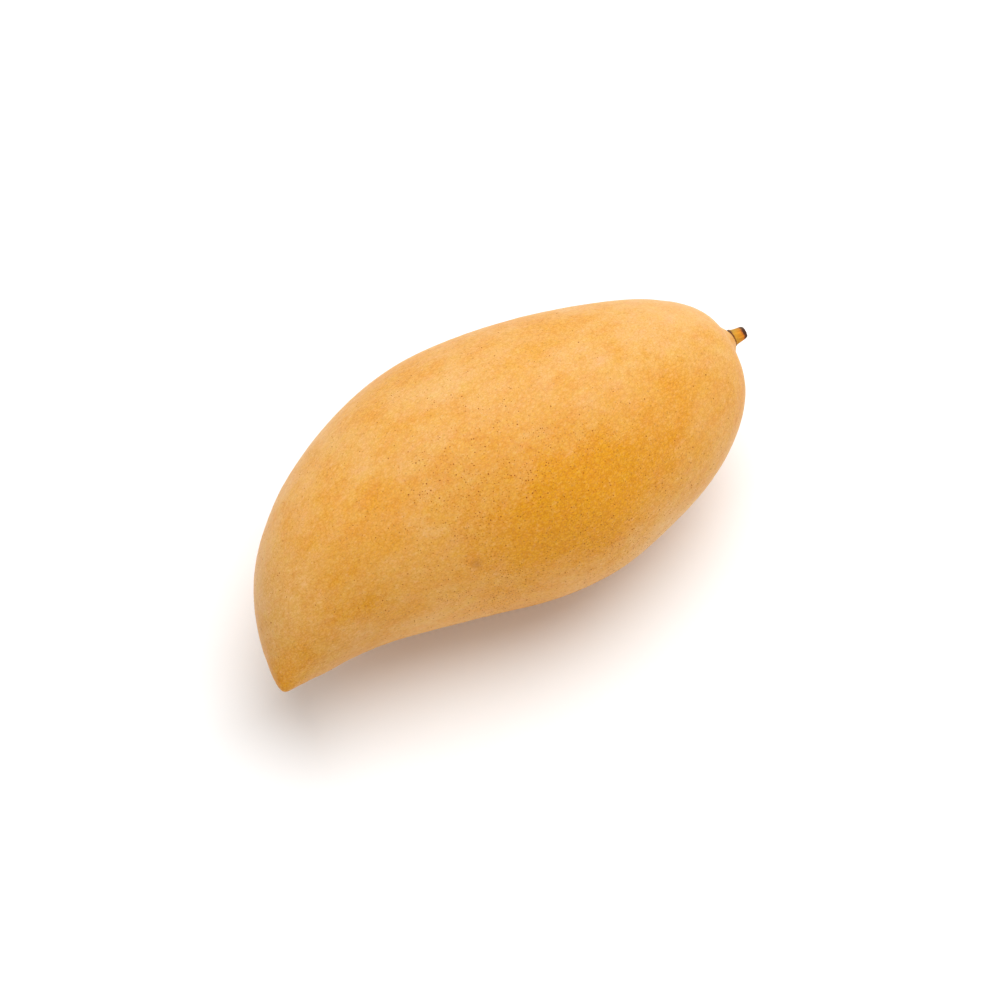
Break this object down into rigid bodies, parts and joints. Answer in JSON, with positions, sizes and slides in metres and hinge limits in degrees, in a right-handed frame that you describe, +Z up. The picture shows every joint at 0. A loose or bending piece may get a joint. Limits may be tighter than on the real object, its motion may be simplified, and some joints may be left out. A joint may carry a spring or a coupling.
{
  "type": "mango",
  "caption": "Ripe yellow mango, oblong with a blunt curved beak and a slightly hollowed belly edge, lying on one cheek, with a short cut stub of stalk at its broad end.",
  "frame": {"origin": "under the middle of the whole mango, stalk included, on the surface that it lies on", "axes": "+X from the beak to the stalk, +Y from the hollowed belly edge to the rounded back edge, +Z up, out of the upper cheek"},
  "size_m": [0.1626, 0.0812, 0.0697],
  "materials": {
    "skin": "satin, finely dotted peel",
    "stalk": "dry, with a dark cut end"
  },
  "bodies": {
    "root": {"fruit": "skin", "stalk": "stalk"}
  },
  "joints": []
}
